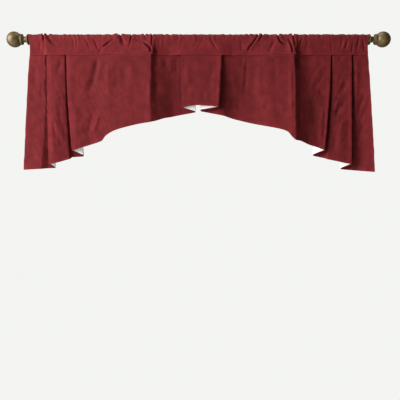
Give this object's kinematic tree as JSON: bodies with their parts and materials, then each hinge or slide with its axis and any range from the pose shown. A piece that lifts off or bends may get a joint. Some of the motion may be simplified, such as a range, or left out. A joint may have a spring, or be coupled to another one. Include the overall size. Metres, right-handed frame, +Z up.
{
  "type": "scalloped valance on a curtain rod",
  "caption": "Dark red lined valance with pleats and an arched, scalloped hem, gathered by its pocket on a straight bronze rod with ball finials.",
  "frame": {"origin": "on the rod's axis, half way between the finials", "axes": "+X along the rod to the right as seen from the room, +Y back to the wall, +Z up"},
  "size_m": [1.4116, 0.0661, 0.5172],
  "materials": {
    "bronze": "mottled antique bronze, satin",
    "face_cloth": "dark red suede-like cloth, matt",
    "lining_cloth": "plain white lining, matt"
  },
  "bodies": {
    "root": {"rod": "bronze", "finial_left": "bronze", "finial_right": "bronze", "pocket_band": "face_cloth", "skirt": "face_cloth", "lining": "lining_cloth"}
  },
  "joints": []
}
